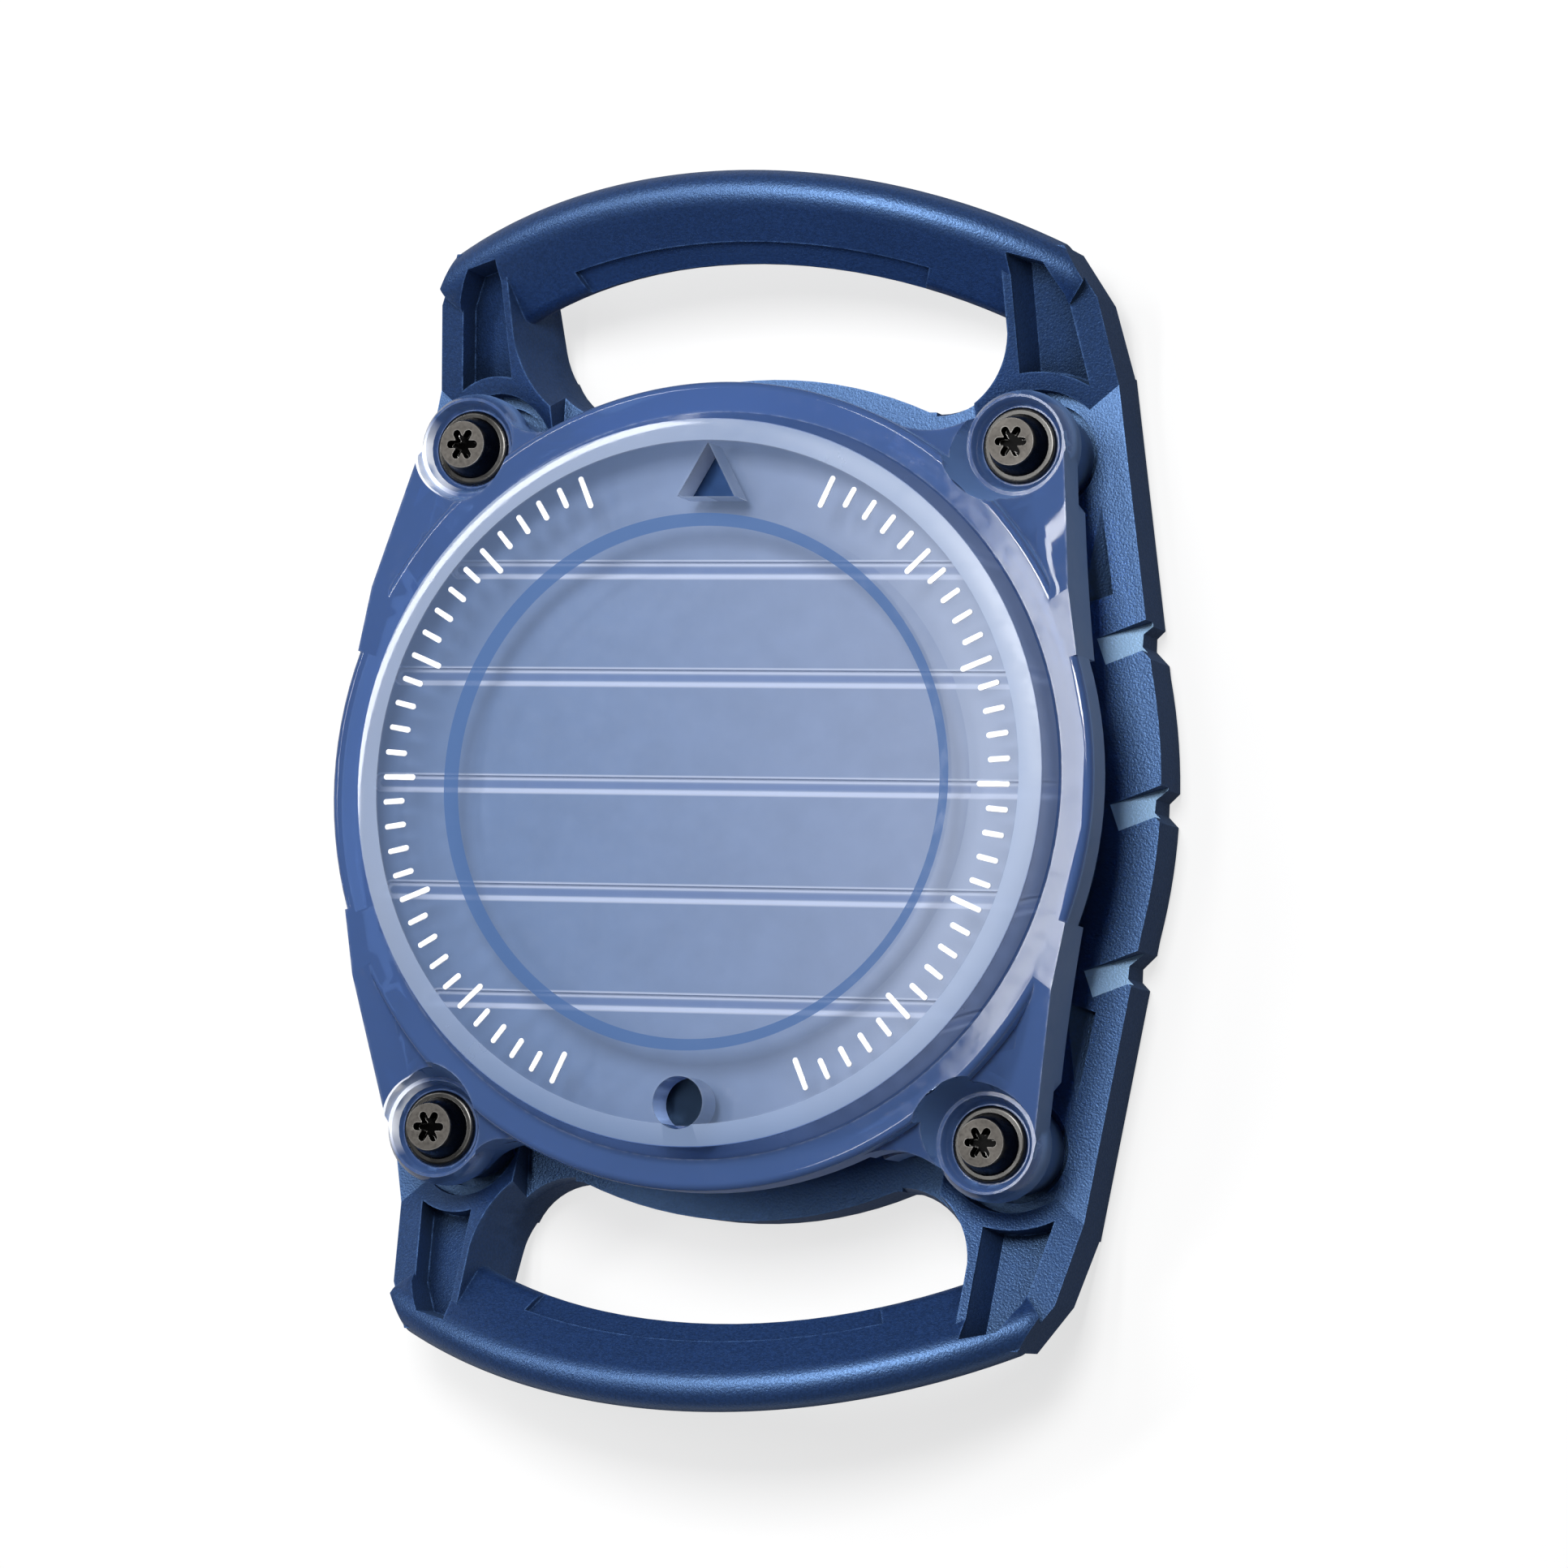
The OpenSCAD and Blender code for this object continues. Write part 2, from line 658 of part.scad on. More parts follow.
module cover() {
    color([0.45, 0.58, 0.8, 0.6]) {
        difference() {
            union() {
                cover_round();
                ribs();
                difference() {
                    union() {
                        corners() cover_arm();
                        corners() ear();
                    }
                    translate([0, 0, -over]) cylinder(r = skirt_r, h = reach);
                }
            }
            corners() {
                translate([ear_x, ear_y, ear_top])
                    cylinder(r1 = sunk_r, r2 = sunk_r + sunk_draft * shelf_drop * 2, h = 2 * shelf_drop);
                translate([ear_x, ear_y, bore_z]) cylinder(r1 = bore_r, r2 = mouth_r, h = bore_d);
                translate([ear_x, ear_y, ear_top]) cylinder(r = mouth_r, h = over);
                translate([ear_x, ear_y]) cylinder(r = screw_r + screw_gap, h = reach);
            }
            translate([0, 0, disc_top - mark_d]) linear_extrude(mark_d + over) {
                translate([0, -dot_y]) circle(dot_r);
                polygon([
                    [-triangle_w / 2, triangle_y - triangle_h / 2],
                    [triangle_w / 2, triangle_y - triangle_h / 2], [0, triangle_y + triangle_h / 2]
                ]);
            }
        }
    }
}

module sealing_ring() {
    color([0.1, 0.1, 0.11])
        rotate_extrude() translate([skirt_r - ring_gap - ring_r, ring_z]) circle(ring_r);
}

module cushion_pad() {
    color([0.12, 0.12, 0.13])
        translate([0, 0, floor_t]) cylinder(r = pocket_r - pad_gap, h = pad_t);
}

module insert() {
    color([0.75, 0.6, 0.3]) translate([ear_x, ear_y, seat_z - insert_l]) difference() {
        cylinder(r = insert_r, h = insert_l);
        translate([0, 0, -over]) cylinder(r = screw_r + thread_gap, h = insert_l + 2 * over);
    }
}

module lobes() {
    circle(lobe_r - 2 * lobe_end_r);
    for (k = [0 : 5]) {
        rotate([0, 0, k * 60]) {
            translate([lobe_r - lobe_end_r, 0]) circle(lobe_end_r);
            translate([0, -lobe_end_r]) square([lobe_r - lobe_end_r, 2 * lobe_end_r]);
        }
    }
}

module screw() {
    shank_l = bore_z - (seat_z - insert_l) - tip_gap;
    color([0.3, 0.29, 0.28]) translate([ear_x, ear_y, bore_z]) {
        difference() {
            union() {
                translate([0, 0, -shank_l]) cylinder(r = screw_r, h = shank_l + washer_t / 2);
                cylinder(r = washer_r, h = washer_t);
                translate([0, 0, washer_t]) cylinder(r1 = head_foot_r, r2 = head_r, h = head_h);
            }
            translate([0, 0, washer_t + head_h - lobe_d]) linear_extrude(lobe_d + over) lobes();
        }
    }
}

module upper_left() {
    mirror([1, 0, 0]) children();
}

module lower_right() {
    mirror([0, 1, 0]) children();
}

module lower_left() {
    rotate([0, 0, 180]) children();
}

frame();
cover();
sealing_ring();
cushion_pad();
insert();  // insert_upper_right
upper_left() insert();  // insert_upper_left
lower_right() insert();  // insert_lower_right
lower_left() insert();  // insert_lower_left
screw();  // screw_upper_right
upper_left() screw();  // screw_upper_left
lower_right() screw();  // screw_lower_right
lower_left() screw();  // screw_lower_left
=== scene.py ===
"""Tracker tag holder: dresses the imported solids, sets a plain stage and lights them.

The cover's and frame's finishes are worked out from places in the holder's own frame, in metres.
"""
import math

import bmesh
import bpy
from mathutils import Matrix, Vector


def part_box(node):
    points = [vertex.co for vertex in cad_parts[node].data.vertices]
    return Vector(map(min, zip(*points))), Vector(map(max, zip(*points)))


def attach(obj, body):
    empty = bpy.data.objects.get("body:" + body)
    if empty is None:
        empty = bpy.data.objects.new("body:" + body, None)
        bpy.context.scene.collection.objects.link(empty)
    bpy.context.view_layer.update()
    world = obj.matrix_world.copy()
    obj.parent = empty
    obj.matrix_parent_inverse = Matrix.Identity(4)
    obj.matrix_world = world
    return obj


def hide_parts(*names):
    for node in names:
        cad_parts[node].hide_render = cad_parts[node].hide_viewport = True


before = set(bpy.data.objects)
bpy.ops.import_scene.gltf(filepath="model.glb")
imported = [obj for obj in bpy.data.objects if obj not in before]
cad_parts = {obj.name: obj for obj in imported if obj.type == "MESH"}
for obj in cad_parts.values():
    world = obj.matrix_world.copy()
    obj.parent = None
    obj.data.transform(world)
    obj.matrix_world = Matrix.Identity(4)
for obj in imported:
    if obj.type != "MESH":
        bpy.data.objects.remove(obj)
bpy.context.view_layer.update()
MM = 0.001

bl_info = {
    "name": "Tracker tag holder",
    "version": (1, 0, 0),
    "blender": (4, 5, 0),
    "location": "View3D > Sidebar > Tag Holder",
    "description": "Materials and fine parts of a screwed tracker tag holder, with its stage",
    "category": "Object",
}

CORNERS = ("upper_right", "upper_left", "lower_right", "lower_left")
EAR = (17.88 * MM, 21.09 * MM)
DISC_TOP = 15.1 * MM
DISC_UNDER = 11.8 * MM
SEAM_Z = 11.45 * MM
BORE_Z = 9.05 * MM
EAR_TOP = 9.9 * MM
MARK_FLOOR = 12.8 * MM
WASHER_TOP = 9.4 * MM
HEAD_TOP = 11.0 * MM
SHANK_R = 1.0 * MM
DISC_R = 22.0 * MM
PRINT_R = 20.7 * MM
STEP_R = 15.9 * MM
MARK_Y = 19.15 * MM
MARK_REACH = 2.6 * MM
RIB_END_R = 21.75 * MM
WELD = 0.0005 * MM
DIM_WORLD = 0.12

NOTCH_NORMAL = (0.381, 0.15, 0.912)
NOTCH_PAINTED_LIGHT = (0.36, 0.55, 0.76)
SHEEN_TINT = (0.3, 0.54, 1.0, 1.0)
CLEAR_TINT = (0.075, 0.145, 0.36)
RIB_SHADE = (0.08, 0.14, 0.34)
RIB_HIGHLIGHT = (0.62, 0.68, 0.84)
STEP_SHADE = (0.045, 0.105, 0.26)
GLARE_TINT = (0.4, 0.47, 0.62)
BEVEL_HIGHLIGHT = (0.78, 0.82, 0.92)
EDGE_HIGHLIGHT = (0.7, 0.79, 0.95)
LIP_HIGHLIGHT = (0.85, 0.88, 0.95)
WALL_LIGHT_TINT = (0.22, 0.4, 0.8)
MARK_WALL_HIGHLIGHT = (0.75, 0.84, 1.0)
DOT_DARK = (0.006, 0.014, 0.03)
POINTER_DARK = (0.013, 0.034, 0.095)
STEEL_BRIGHT = (0.055, 0.054, 0.052)
STEEL_GREY = (0.075, 0.07, 0.064)
STEEL_BLACK = (0.012, 0.012, 0.013)
STEEL_WORN = (0.5, 0.49, 0.47)
RECESS_BLACK = (0.003, 0.003, 0.003)


class HolderFinish(bpy.types.PropertyGroup):
    """Colours and surface sizes of the holder."""

    shell_colour: bpy.props.FloatVectorProperty(
        name="Frame colour", description="Moulded colour of the frame",
        subtype="COLOR", size=3, min=0.0, max=1.0, default=(0.0085, 0.0235, 0.08))
    # Paler edge colour: partly rubbed wear, partly a painted highlight along the frame's crests.
    wear_and_highlight_colour: bpy.props.FloatVectorProperty(
        name="Edge colour", description="Colour of the frame's rubbed edges",
        subtype="COLOR", size=3, min=0.0, max=1.0, default=(0.1, 0.2, 0.45))
    cover_colour: bpy.props.FloatVectorProperty(
        name="Cover colour", description="Colour of the clear smoke-blue cover",
        subtype="COLOR", size=3, min=0.0, max=1.0, default=(0.17, 0.24, 0.39))
    under_colour: bpy.props.FloatVectorProperty(
        name="Underside colour", description="Colour of the matt underside of the cover's disc",
        subtype="COLOR", size=3, min=0.0, max=1.0, default=(0.128, 0.2, 0.365))
    # Painted light: paler colour laid on the disc's underside towards the right and the upper loop, where
    # the light falls.
    underside_light_colour: bpy.props.FloatVectorProperty(
        name="Bloom colour", description="Colour of the disc's underside where it has bloomed pale",
        subtype="COLOR", size=3, min=0.0, max=1.0, default=(0.212, 0.27, 0.418))
    print_colour: bpy.props.FloatVectorProperty(
        name="Dial colour", description="Colour of the printed dial marks",
        subtype="COLOR", size=3, min=0.0, max=1.0, default=(0.88, 0.9, 0.94))
    grain_size: bpy.props.FloatProperty(
        name="Grain size", description="Size of the fine grain of the frame's surface",
        unit="LENGTH", subtype="DISTANCE", default=0.13 * MM, min=0.05 * MM, max=1.0 * MM)
    edge_round: bpy.props.FloatProperty(
        name="Edge rounding", description="Largest width of the rounding on moulded edges",
        unit="LENGTH", subtype="DISTANCE", default=0.14 * MM, min=0.02 * MM, max=0.3 * MM)
    tick_angle: bpy.props.FloatProperty(
        name="Tick angle", description="Angle between two marks of the dial",
        subtype="ANGLE", default=math.radians(4.4))
    tick_reach: bpy.props.FloatProperty(
        name="Tick reach", description="Angle that the marks cover to each side of the short axis",
        subtype="ANGLE", default=math.radians(66))
    tick_in: bpy.props.FloatProperty(
        name="Tick inner radius", description="Radius at which the long marks begin",
        unit="LENGTH", subtype="DISTANCE", default=18.1 * MM)
    tick_out: bpy.props.FloatProperty(
        name="Tick outer radius", description="Radius at which all marks end",
        unit="LENGTH", subtype="DISTANCE", default=20.2 * MM)
    tick_width: bpy.props.FloatProperty(
        name="Tick width", description="Width of a mark",
        unit="LENGTH", subtype="DISTANCE", default=0.36 * MM)
    rib_pitch: bpy.props.FloatProperty(
        name="Rib pitch", description="Distance between the ribs under the disc",
        unit="LENGTH", subtype="DISTANCE", default=6.6 * MM)
    rib_width: bpy.props.FloatProperty(
        name="Rib width", description="Width of a rib under the disc",
        unit="LENGTH", subtype="DISTANCE", default=1.0 * MM)
    thread_pitch: bpy.props.FloatProperty(
        name="Thread pitch", description="Rise of the screws' thread in one turn",
        unit="LENGTH", subtype="DISTANCE", default=0.4 * MM)


class StageSetup(bpy.types.PropertyGroup):
    """Camera, lamps and floor."""

    floor_colour: bpy.props.FloatVectorProperty(
        name="Floor colour", description="Colour of the floor as the camera sees it",
        subtype="COLOR", size=3, min=0.0, max=1.0, default=(0.95, 0.95, 0.95))
    yaw: bpy.props.FloatProperty(
        name="Yaw", description="Turn of the camera to the right of straight above",
        subtype="ANGLE", default=math.radians(20.71))
    pitch: bpy.props.FloatProperty(
        name="Pitch", description="Turn of the camera towards the lower loop",
        subtype="ANGLE", default=math.radians(5.03))
    roll: bpy.props.FloatProperty(
        name="Roll", description="Roll of the camera about its view",
        subtype="ANGLE", default=math.radians(2.62))
    distance: bpy.props.FloatProperty(
        name="Distance", description="Distance of the camera from the holder",
        unit="LENGTH", subtype="DISTANCE", default=466 * MM)
    aim_height: bpy.props.FloatProperty(
        name="Aim height", description="Height of the point that the camera looks at",
        unit="LENGTH", subtype="DISTANCE", default=2.1 * MM)
    lens: bpy.props.FloatProperty(
        name="Lens", description="Focal length in millimetres on a 36 mm sensor",
        unit="CAMERA", default=173.2)
    shift: bpy.props.FloatVectorProperty(
        name="Shift", description="Shift of the camera's frame to the right and up",
        size=2, default=(0.0104, 0.0113))


class Nodes:
    """Short way to build a node material."""

    def __init__(self, name):
        self.material = bpy.data.materials.new(name)
        self.material.use_nodes = True
        self.tree = self.material.node_tree
        self.tree.nodes.clear()
        self.out = self.tree.nodes.new("ShaderNodeOutputMaterial")

    def add(self, kind, inputs=None, **settings):
        """A node with its inputs, each a number or another node's output, and its settings."""
        node = self.tree.nodes.new(kind)
        for key, value in settings.items():
            setattr(node, key, value)
        for key, value in (inputs or {}).items():
            socket = node.inputs[key]
            if isinstance(value, bpy.types.NodeSocket):
                self.tree.links.new(value, socket)
            else:
                socket.default_value = value
        return node

    def math(self, operation, first, second=0.0, third=0.0):
        return self.add("ShaderNodeMath", {0: first, 1: second, 2: third}, operation=operation).outputs[0]

    def times(self, first, *others):
        for other in others:
            first = self.math("MULTIPLY", first, other)
        return first

    def most(self, first, *others):
        for other in others:
            first = self.math("MAXIMUM", first, other)
        return first

    def rest(self, share):
        return self.math("SUBTRACT", 1.0, share)

    def above(self, value, level):
        return self.math("GREATER_THAN", value, level)

    def below(self, value, level):
        return self.math("LESS_THAN", value, level)

    def length(self, first, second):
        return self.math("SQRT", self.math("ADD", self.times(first, first), self.times(second, second)))

    def place(self):
        return self.add("ShaderNodeTexCoord").outputs["Object"]

    def axes(self, place):
        return self.add("ShaderNodeSeparateXYZ", {0: place}).outputs

    def noise(self, place, size, detail=2.0):
        """Noise whose patches are about size across."""
        inputs = {"Vector": place, "Scale": 1.0 / size, "Detail": detail}
        return self.add("ShaderNodeTexNoise", inputs).outputs["Fac"]

    def span(self, value, low, high, to_low=0.0, to_high=1.0):
        return self.add("ShaderNodeMapRange", {
            "Value": value, "From Min": low, "From Max": high,
            "To Min": to_low, "To Max": to_high}).outputs[0]

    def bump(self, height, depth, strength=1.0):
        inputs = {"Height": height, "Strength": strength, "Distance": depth}
        return self.add("ShaderNodeBump", inputs).outputs[0]

    def mix(self, share, first, second):
        node = self.add("ShaderNodeMix", data_type="RGBA")
        for key, value in (("Factor_Float", share), ("A_Color", first), ("B_Color", second)):
            socket = next(s for s in node.inputs if s.identifier == key)
            if isinstance(value, bpy.types.NodeSocket):
                self.tree.links.new(value, socket)
            else:
                socket.default_value = value if key == "Factor_Float" else (*value[:3], 1.0)
        return next(s for s in node.outputs if s.identifier == "Result_Color")

    def scaled(self, colour, factor):
        inputs = {0: colour, "Scale": factor}
        return self.add("ShaderNodeVectorMath", inputs, operation="SCALE").outputs["Vector"]

    def alike(self, first, second):
        """Dot product of two directions."""
        inputs = {0: first, 1: second}
        return self.add("ShaderNodeVectorMath", inputs, operation="DOT_PRODUCT").outputs["Value"]

    def normal(self):
        return self.add("ShaderNodeNewGeometry").outputs["Normal"]

    def worn(self, place, radius, low, high):
        """Share of an edge band, used for edge wear and for painted edge highlights: how far a rounded
        normal leaves the true one, broken up by noise.
        """
        round_normal = self.add("ShaderNodeBevel", {"Radius": radius}, samples=4).outputs[0]
        edge = self.span(self.alike(round_normal, self.normal()), 1.0 - low, 1.0 - high)
        return self.times(edge, self.span(self.noise(place, 0.6 * MM, 3.0), 0.3, 0.62))

    def surface(self, **inputs):
        keys = {key.replace("_", " "): value for key, value in inputs.items()}
        bsdf = self.add("ShaderNodeBsdfPrincipled", keys)
        self.tree.links.new(bsdf.outputs[0], self.out.inputs["Surface"])
        return self.material


def near_axis(m, x, y, centre_x, centre_y):
    """Distance from the nearest of the axes mirrored about the middle."""
    off_x = m.math("SUBTRACT", m.math("ABSOLUTE", x), centre_x)
    off_y = m.math("SUBTRACT", m.math("ABSOLUTE", y), centre_y)
    return m.length(off_x, off_y)


def frame_plastic():
    """Dyed nylon with a fine spark grain; its edges are paler, partly as rubbed wear and partly as a painted
    highlight on the crests, its recesses carry painted shade and its notch floors painted light.
    """
    look = bpy.context.scene.holder_finish
    m = Nodes("frame_plastic")
    place = m.place()
    grain = m.noise(place, look.grain_size)
    tone = m.span(m.noise(place, 11 * MM, 3.0), 0.3, 0.7, 0.92, 1.08)
    speckle = m.span(m.noise(place, 0.2 * MM, 1.0), 0.35, 0.68, 0.8, 1.22)
    # Painted shade: the colour is darkened where the frame is closed in, in its recesses and hollows and
    # beside the cover.
    openness_for_shade = m.add("ShaderNodeAmbientOcclusion", {"Distance": 2 * MM}, samples=8).outputs["AO"]
    tone = m.times(tone, m.span(openness_for_shade, 0.35, 0.95, 0.2, 1.05))
    tint = m.scaled(look.shell_colour, m.times(tone, speckle))
    # Paler edges: partly rubbed wear, partly a painted highlight along the crests.
    wear = m.worn(place, 0.25 * MM, 0.04, 0.4)
    colour = m.mix(m.times(wear, 0.85), tint, look.wear_and_highlight_colour)
    outward = m.add("ShaderNodeVectorMath", {0: m.normal()}, operation="ABSOLUTE").outputs["Vector"]
    # Painted light: the floors of the notches in the side rails are painted pale blue, as if lit.
    near_middle = m.below(m.math("ABSOLUTE", m.axes(place)[1]), 14 * MM)
    lit_notch_floor = m.times(m.span(m.alike(outward, NOTCH_NORMAL), 0.994, 0.998, 0.0, 0.9), near_middle)
    colour = m.mix(lit_notch_floor, colour, NOTCH_PAINTED_LIGHT)
    upright = m.axes(outward)[2]
    rough = m.math("ADD", m.span(grain, 0.3, 0.7, 0.36, 0.48), m.span(upright, 0.1, 0.5, 0.4, 0.0))
    return m.surface(
        Base_Color=colour, Roughness=rough, IOR=1.7, Specular_IOR_Level=1.0, Specular_Tint=SHEEN_TINT,
        Normal=m.bump(grain, 0.04 * MM, 0.7))


def rib_lines(m, place):
    """Shares of the ribs' outlines, where a highlight is painted, and of their middles, where shade is
    painted, and of all that lies low under the disc.
    """
    look = bpy.context.scene.holder_finish
    x, y, z = m.axes(place)
    wrapped = m.math("WRAP", y, look.rib_pitch / 2, -look.rib_pitch / 2)
    row = m.math("SUBTRACT", y, wrapped)
    half_length = m.math("SQRT", m.most(m.math("SUBTRACT", RIB_END_R ** 2, m.times(row, row)), 0.0))
    past = m.most(m.math("SUBTRACT", m.math("ABSOLUTE", x), half_length), 0.0)
    reach = m.length(past, wrapped)
    edge = m.math("ABSOLUTE", m.math("SUBTRACT", reach, 0.42 * look.rib_width))
    pale = m.span(edge, 0.12 * MM, 0.22 * MM, 1.0, 0.0)
    dark = m.span(reach, 0.1 * MM, 0.22 * MM, 1.0, 0.0)
    low = m.below(z, DISC_UNDER + 0.05 * MM)
    region = m.times(m.below(m.math("ABSOLUTE", row), 2.5 * look.rib_pitch), low)
    return m.times(pale, region), m.times(dark, region), low


def sunk_marks(m, x, y, z, radius):
    """Shares of the two sunk marks' hollows and of their floors."""
    hollow = m.times(
        m.below(near_axis(m, x, y, 0.0, MARK_Y), MARK_REACH), m.below(radius, PRINT_R),
        m.below(z, DISC_TOP - 0.08 * MM), m.above(z, DISC_UNDER + 0.3 * MM))
    return hollow, m.times(hollow, m.below(z, MARK_FLOOR + 0.02 * MM))


def ear_lip_highlights(m, x, y, z):
    """Share of the painted highlights, pale crescents on the outward lips of the two left ears."""
    out_x = m.math("SUBTRACT", m.math("ABSOLUTE", x), EAR[0])
    out_y = m.math("SUBTRACT", m.math("ABSOLUTE", y), EAR[1])
    from_ear = near_axis(m, x, y, *EAR)
    facing = m.math("DIVIDE", m.math("MULTIPLY_ADD", out_x, 0.93, m.times(out_y, -0.36)), from_ear)
    return m.times(
        m.span(facing, 0.5, 0.9), m.math("COMPARE", from_ear, 3.0 * MM, 0.45 * MM),
        m.below(x, 0.0), m.above(z, 9.4 * MM))


def cover_plastic():
    """Clear smoke-blue plastic, polished outside, with a matt underside and two dark sunk marks; its colour
    also carries painted light: highlights on the ribs, bevel, edges, ear lips and mark walls, painted shade
    on the ribs and the step, a painted glare and a paler underside towards the right, and paler outer walls.
    """
    look = bpy.context.scene.holder_finish
    m = Nodes("cover_plastic")
    place = m.place()
    x, y, z = m.axes(place)
    radius = m.length(x, y)
    tone = m.span(m.noise(place, 16 * MM, 3.0), 0.3, 0.7, 0.93, 1.07)
    cloud = m.span(m.noise(place, 2.2 * MM, 3.0), 0.3, 0.7, 0.94, 1.06)

    # Where on the cover a point lies.
    pale, dark, low = rib_lines(m, place)
    on_disc = m.above(z, DISC_TOP - 0.9 * MM)
    under = m.times(low, m.below(radius, 22.3 * MM), m.above(z, 11.4 * MM))
    face = m.times(m.below(radius, DISC_R), on_disc)
    step = m.times(m.math("COMPARE", radius, STEP_R, 0.36 * MM), on_disc)
    painted_glare = m.times(
        m.math("COMPARE", radius, 19.55 * MM, 3.05 * MM), m.span(x, 5 * MM, 18 * MM), m.above(z, 11.3 * MM))
    bevel = m.times(m.math("COMPARE", radius, 21.35 * MM, 0.72 * MM), m.above(z, DISC_TOP - 0.4 * MM))
    lit_side = m.span(m.math("MULTIPLY_ADD", y, -0.6, x), -16 * MM, 2 * MM, 1.0, 0.0)
    dull_bevel = m.times(bevel, m.rest(lit_side))
    hollow, floor = sunk_marks(m, x, y, z, radius)
    lip_highlight = ear_lip_highlights(m, x, y, z)
    steepness = m.span(m.math("ABSOLUTE", m.axes(m.normal())[2]), 0.15, 0.5, 1.0, 0.0)
    wall = m.times(steepness, m.above(radius, 23.8 * MM))

    # Colours, each laid over the last.
    # Painted light: the matt underside is made paler towards the right and the upper loop, where the light
    # falls.
    painted_light_gradient = m.span(m.math("MULTIPLY_ADD", y, 0.25, x), -14 * MM, 13 * MM)
    matt = m.scaled(m.mix(painted_light_gradient, look.under_colour, look.underside_light_colour), cloud)
    colour = m.mix(under, m.scaled(m.mix(face, CLEAR_TINT, look.cover_colour), tone), matt)
    # Painted light: the ribs under the disc are drawn as painted shade along their middles and painted
    # highlights along their outlines.
    colour = m.mix(m.times(dark, 0.7), colour, RIB_SHADE)
    colour = m.mix(m.times(pale, 0.85), colour, RIB_HIGHLIGHT)
    # Painted shade: a darker ring where the disc steps down.
    colour = m.mix(m.times(step, 0.85), colour, STEP_SHADE)
    # Painted reflection: a pale glare over the right side of the cover, between the disc and its rim.
    colour = m.mix(m.times(painted_glare, 0.4), colour, GLARE_TINT)
    # Painted highlight: the disc's bevel is paler on its lit side.
    colour = m.mix(m.times(bevel, lit_side, 0.2), colour, BEVEL_HIGHLIGHT)
    # Painted highlight: pale edges over the cover, except underneath, on its outer walls and on the bevel's
    # shaded side.
    lit_edge = m.times(m.worn(place, 0.3 * MM, 0.04, 0.35), m.rest(m.most(under, wall, dull_bevel)))
    colour = m.mix(m.times(lit_edge, 0.5), colour, EDGE_HIGHLIGHT)
    # Painted highlight: pale crescents on the lips of the two left ears.
    colour = m.mix(m.times(lip_highlight, 0.9), colour, LIP_HIGHLIGHT)
    # Painted light: the cover's steep outer walls are laid a paler, more solid blue, standing in for light
    # coming through the clear wall.
    colour = m.mix(m.times(wall, 0.75), colour, WALL_LIGHT_TINT)
    # Painted light: the walls of the sunk marks are painted paler than the underside, the left ones much
    # paler, as if lit.
    upper = m.above(y, 0.0)
    lit_left_wall = m.mix(upper, m.scaled(matt, 2.2), MARK_WALL_HIGHLIGHT)
    colour = m.mix(hollow, colour, m.mix(m.below(x, 0.0), m.scaled(matt, 1.15), lit_left_wall))
    colour = m.mix(floor, colour, m.mix(upper, DOT_DARK, POINTER_DARK))

    # How clear, open and rough it is.
    solid = m.most(under, hollow, m.times(wall, 0.85))
    face = m.times(face, m.rest(hollow), m.below(radius, PRINT_R))
    open_face = m.rest(m.times(face, m.span(step, 0.0, 1.0, 0.7, 0.12)))
    clear = m.times(m.rest(m.most(solid, lip_highlight, face)), 0.5, m.span(bevel, 0.0, 1.0, 1.0, 0.45))
    scuff = m.span(m.noise(place, 0.9 * MM, 4.0), 0.45, 0.75, 0.05, 0.13)
    rough = m.math("ADD", scuff, m.times(m.math("ADD", solid, wall), 0.25))
    rough = m.math("ADD", rough, m.most(m.times(painted_glare, 0.15), m.times(dull_bevel, 0.3)))
    return m.surface(
        Base_Color=colour, Roughness=rough, Metallic=m.times(floor, 0.9), Transmission_Weight=clear,
        Alpha=open_face, IOR=1.45, Normal=m.bump(m.noise(place, 1.6 * MM, 2.0), 0.01 * MM, 0.3))


def screw_metal():
    """Blackened steel with a worn grey top, a dark recess and a lighter washer face."""
    m = Nodes("screw_metal")
    place = m.place()
    x, y, z = m.axes(place)
    radius = near_axis(m, x, y, *EAR)
    brushed = m.noise(place, 0.25 * MM, 4.0)
    fine = m.noise(place, 1.2 * MM, 2.0)
    top = m.above(z, HEAD_TOP - 0.12 * MM)
    head = m.times(m.above(z, WASHER_TOP + 0.03 * MM), m.below(radius, 2.0 * MM))
    recess = m.times(m.below(radius, 1.3 * MM), m.math("SUBTRACT", head, top))
    colour = m.mix(head, m.scaled(STEEL_BRIGHT, m.span(fine, 0.3, 0.7, 0.9, 1.06)), STEEL_BLACK)
    colour = m.mix(top, colour, m.scaled(STEEL_GREY, m.span(brushed, 0.3, 0.7, 0.6, 1.5)))
    colour = m.mix(recess, colour, RECESS_BLACK)
    colour = m.mix(m.times(m.worn(place, 0.12 * MM, 0.05, 0.4), head), colour, STEEL_WORN)
    scratched = m.times(top, m.span(brushed, 0.3, 0.7, 0.2, 0.4))
    rough = m.math("ADD", m.span(fine, 0.3, 0.7, 0.22, 0.32), scratched)
    return m.surface(
        Base_Color=colour, Roughness=rough, Metallic=1.0,
        Normal=m.bump(m.times(brushed, top), 0.006 * MM, 0.4))


